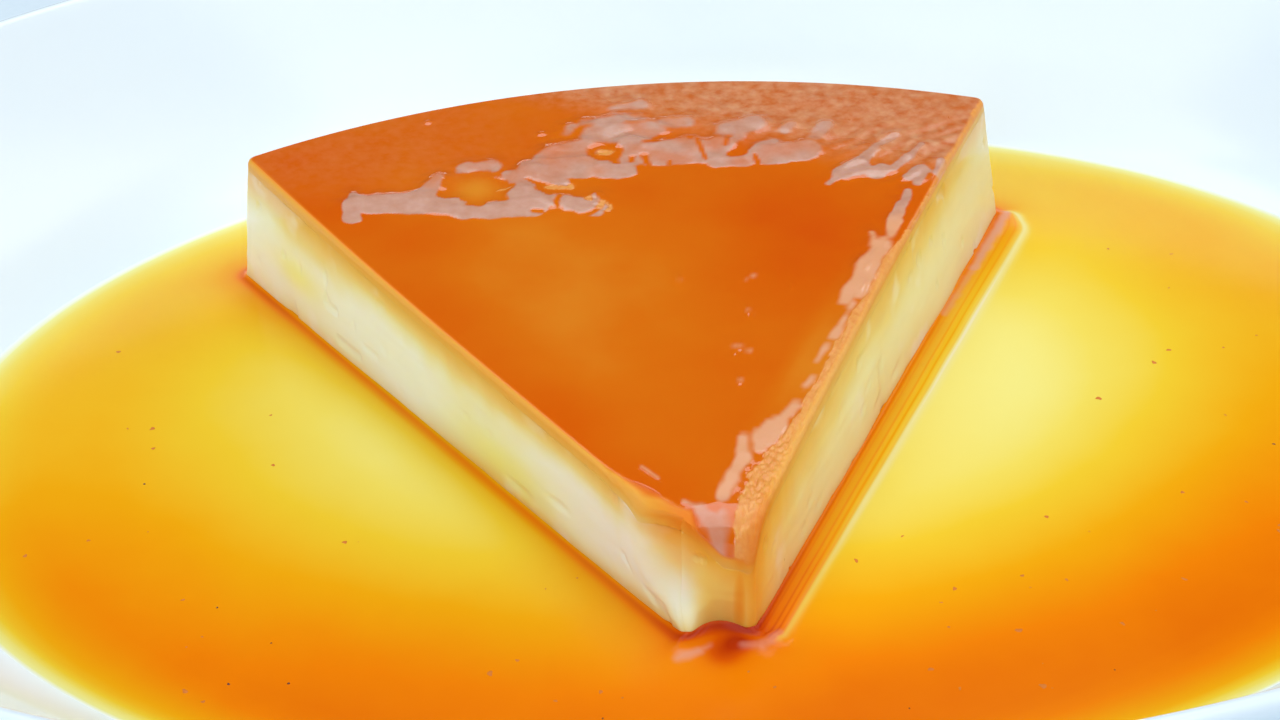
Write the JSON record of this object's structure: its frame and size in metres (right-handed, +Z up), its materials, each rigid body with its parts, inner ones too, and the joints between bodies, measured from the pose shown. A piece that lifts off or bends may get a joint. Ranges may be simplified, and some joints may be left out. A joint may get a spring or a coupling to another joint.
{
  "type": "creme caramel flan slice on a plate",
  "caption": "Slice of creme caramel flan with a glossy caramel top, lying in a pool of caramel sauce on an oval white porcelain plate.",
  "frame": {"origin": "centre of the plate's oval on the table that it stands on", "axes": "+X along the plate's long axis, +Z up; the slice's nose points towards -Y"},
  "size_m": [0.284, 0.212, 0.0421],
  "materials": {
    "porcelain": "white glazed porcelain, glossy",
    "custard": "wet set custard, cream coloured, stained with caramel towards its top",
    "caramel_skin": "caramel-soaked skin under a wet amber film, glossy",
    "caramel_sauce": "clear liquid caramel, golden where it is deep and pale yellow where it is thin"
  },
  "bodies": {
    "root": {"plate": "porcelain", "custard": "custard", "caramel_top": "caramel_skin", "caramel_sauce": "caramel_sauce"}
  },
  "joints": []
}
